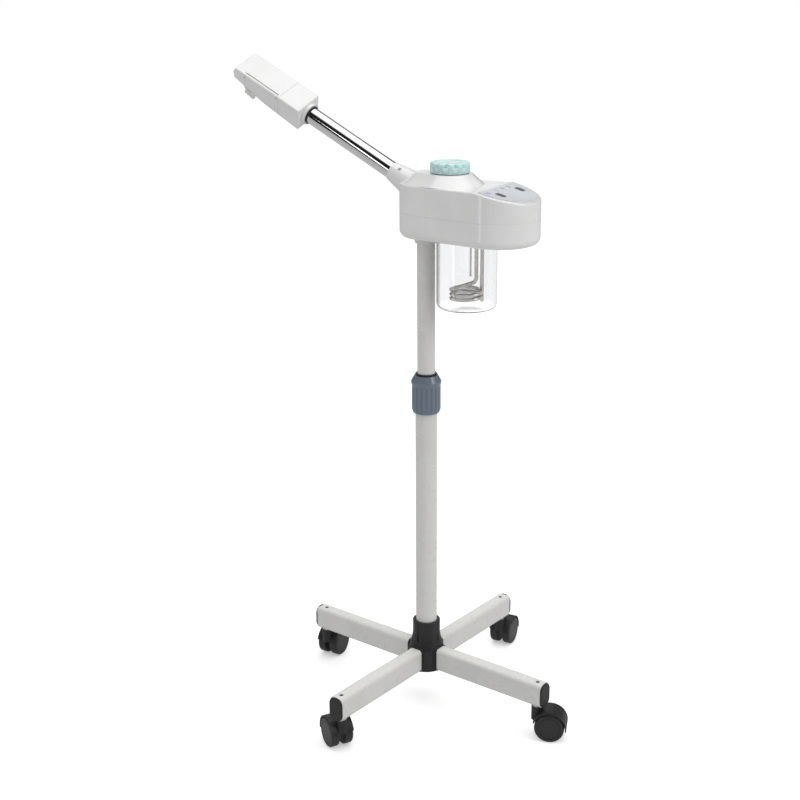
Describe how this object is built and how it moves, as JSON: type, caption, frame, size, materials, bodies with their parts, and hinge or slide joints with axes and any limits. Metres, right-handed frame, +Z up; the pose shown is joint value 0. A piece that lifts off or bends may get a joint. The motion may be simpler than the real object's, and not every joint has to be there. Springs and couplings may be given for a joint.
{
  "type": "facial steamer",
  "caption": "Salon facial steamer: jar boiler in a white head on a telescoping pole, chrome steam arm with turning nozzle, cross base on twin-wheel casters.",
  "frame": {"origin": "point where the axis of the pole meets the floor", "axes": "+Z up along the pole; the steam arm leaves the head towards -X and the control panel slopes down towards +X"},
  "size_m": [0.6362, 0.5273, 1.093],
  "materials": {
    "paint": "satin",
    "black_plastic": "matt",
    "wheel_plastic": "matt",
    "steel": "brushed",
    "grey_plastic": "gloss",
    "white_plastic": "gloss",
    "inner_plastic": "matt",
    "panel": "satin",
    "dark_plastic": "gloss",
    "board": "satin",
    "glass": "clear",
    "seal": "matt",
    "mint_plastic": "gloss",
    "chrome": "polished",
    "hose_rubber": "matt",
    "ring_rubber": "matt"
  },
  "bodies": {
    "base": {"hub": "black_plastic", "hub_screws": "steel", "pole_bolt": "steel", "pole_foot_insert": "black_plastic", "lower_tube": "paint", "guide_bush": "black_plastic", "leg_1": "paint", "leg_2": "paint", "leg_3": "paint", "leg_4": "paint", "leg_plugs": "black_plastic", "caster_stems": "steel"},
    "collar": {"height_collar": "grey_plastic"},
    "mast": {"upper_tube": "paint", "glide_ring": "black_plastic"},
    "head": {"lower_shell": "white_plastic", "upper_shell": "white_plastic", "shell_screws": "steel", "pole_socket": "inner_plastic", "control_panel": "panel", "circuit_board": "board", "power_inlet": "dark_plastic", "boiler_flange": "inner_plastic", "fill_neck": "inner_plastic", "jar_holder": "inner_plastic", "jar_gasket": "seal", "heating_element": "steel", "level_probe": "steel", "ozone_lamp": "glass", "steam_hose": "hose_rubber", "arm_tube": "chrome", "arm_socket": "white_plastic", "arm_rings": "ring_rubber"},
    "steam_key": {"steam_key": "dark_plastic"},
    "ozone_key": {"ozone_key": "dark_plastic"},
    "cap": {"fill_cap": "mint_plastic", "cap_gasket": "seal"},
    "jar": {"glass_jar": "glass"},
    "nozzle": {"nozzle_rear": "white_plastic", "nozzle_front": "white_plastic", "flap_pin": "steel", "aroma_basket": "inner_plastic"},
    "flap": {"service_flap": "white_plastic"},
    "outlet": {"steam_outlet": "white_plastic"},
    "caster_1": {"caster_hood_1": "black_plastic", "caster_axle_1": "steel"},
    "wheel_1_a": {"wheel_1_a": "wheel_plastic"},
    "wheel_1_b": {"wheel_1_b": "wheel_plastic"},
    "caster_2": {"caster_hood_2": "black_plastic", "caster_axle_2": "steel"},
    "wheel_2_a": {"wheel_2_a": "wheel_plastic"},
    "wheel_2_b": {"wheel_2_b": "wheel_plastic"},
    "caster_3": {"caster_hood_3": "black_plastic", "caster_axle_3": "steel"},
    "wheel_3_a": {"wheel_3_a": "wheel_plastic"},
    "wheel_3_b": {"wheel_3_b": "wheel_plastic"},
    "caster_4": {"caster_hood_4": "black_plastic", "caster_axle_4": "steel"},
    "wheel_4_a": {"wheel_4_a": "wheel_plastic"},
    "wheel_4_b": {"wheel_4_b": "wheel_plastic"}
  },
  "joints": [
    {"name": "collar_turn", "type": "hinge", "parent": "base", "child": "collar", "pos_m": [0, 0, 0.56], "axis": [0, 0, 1], "range_deg": [0, 120]},
    {"name": "mast_slide", "type": "slide", "parent": "base", "child": "mast", "axis": [0, 0, 1], "range_m": [-0.19, 0.12]},
    {"name": "head_turn", "type": "hinge", "parent": "mast", "child": "head", "pos_m": [0, 0, 0.83], "axis": [0, 0, 1], "range_deg": [-170, 170]},
    {"name": "steam_key_press", "type": "slide", "parent": "head", "child": "steam_key", "axis": [-0.2487, 0, -0.9686], "range_m": [0, 0.0006], "stiffness_N_per_m": 400, "springref_m": -0.001},
    {"name": "ozone_key_press", "type": "slide", "parent": "head", "child": "ozone_key", "axis": [-0.2487, 0, -0.9686], "range_m": [0, 0.0006], "stiffness_N_per_m": 400, "springref_m": -0.001},
    {"name": "cap_lift", "type": "slide", "parent": "head", "child": "cap", "axis": [0, 0, 1], "range_m": [0, 0.03]},
    {"name": "jar_drop", "type": "slide", "parent": "head", "child": "jar", "axis": [0, 0, -1], "range_m": [0, 0.12]},
    {"name": "nozzle_turn", "type": "hinge", "parent": "head", "child": "nozzle", "pos_m": [-0.22166, 0, 1.00212], "axis": [-0.887, 0, 0.4617], "range_deg": [-120, 120]},
    {"name": "flap_open", "type": "hinge", "parent": "nozzle", "child": "flap", "pos_m": [-0.29413, -0.02876, 1.04482], "axis": [-0.887, 0, 0.4617], "range_deg": [0, 95]},
    {"name": "outlet_turn", "type": "hinge", "parent": "nozzle", "child": "outlet", "pos_m": [-0.32288, 0.004, 1.04699], "axis": [-0.5777, 0.4888, -0.6537], "range_deg": [-90, 90]},
    {"name": "caster_swivel_1", "type": "hinge", "parent": "base", "child": "caster_1", "pos_m": [0.22829, -0.02803, 0.05], "axis": [0, 0, 1], "continuous": true},
    {"name": "wheel_roll_1_a", "type": "hinge", "parent": "caster_1", "child": "wheel_1_a", "pos_m": [0.24896, -0.02051, 0.025], "axis": [-0.342, 0.9397, 0], "continuous": true},
    {"name": "wheel_roll_1_b", "type": "hinge", "parent": "caster_1", "child": "wheel_1_b", "pos_m": [0.24896, -0.02051, 0.025], "axis": [-0.342, 0.9397, 0], "continuous": true},
    {"name": "caster_swivel_2", "type": "hinge", "parent": "base", "child": "caster_2", "pos_m": [0.02803, 0.22829, 0.05], "axis": [0, 0, 1], "continuous": true},
    {"name": "wheel_roll_2_a", "type": "hinge", "parent": "caster_2", "child": "wheel_2_a", "pos_m": [0.02611, 0.2502, 0.025], "axis": [-0.9962, -0.0872, 0], "continuous": true},
    {"name": "wheel_roll_2_b", "type": "hinge", "parent": "caster_2", "child": "wheel_2_b", "pos_m": [0.02611, 0.2502, 0.025], "axis": [-0.9962, -0.0872, 0], "continuous": true},
    {"name": "caster_swivel_3", "type": "hinge", "parent": "base", "child": "caster_3", "pos_m": [-0.22829, 0.02803, 0.05], "axis": [0, 0, 1], "continuous": true},
    {"name": "wheel_roll_3_a", "type": "hinge", "parent": "caster_3", "child": "wheel_3_a", "pos_m": [-0.22905, 0.05002, 0.025], "axis": [-0.9994, -0.0349, 0], "continuous": true},
    {"name": "wheel_roll_3_b", "type": "hinge", "parent": "caster_3", "child": "wheel_3_b", "pos_m": [-0.22905, 0.05002, 0.025], "axis": [-0.9994, -0.0349, 0], "continuous": true},
    {"name": "caster_swivel_4", "type": "hinge", "parent": "base", "child": "caster_4", "pos_m": [-0.02803, -0.22829, 0.05], "axis": [0, 0, 1], "continuous": true},
    {"name": "wheel_roll_4_a", "type": "hinge", "parent": "caster_4", "child": "wheel_4_a", "pos_m": [-0.04648, -0.2163, 0.025], "axis": [-0.5446, -0.8387, 0], "continuous": true},
    {"name": "wheel_roll_4_b", "type": "hinge", "parent": "caster_4", "child": "wheel_4_b", "pos_m": [-0.04648, -0.2163, 0.025], "axis": [-0.5446, -0.8387, 0], "continuous": true}
  ]
}
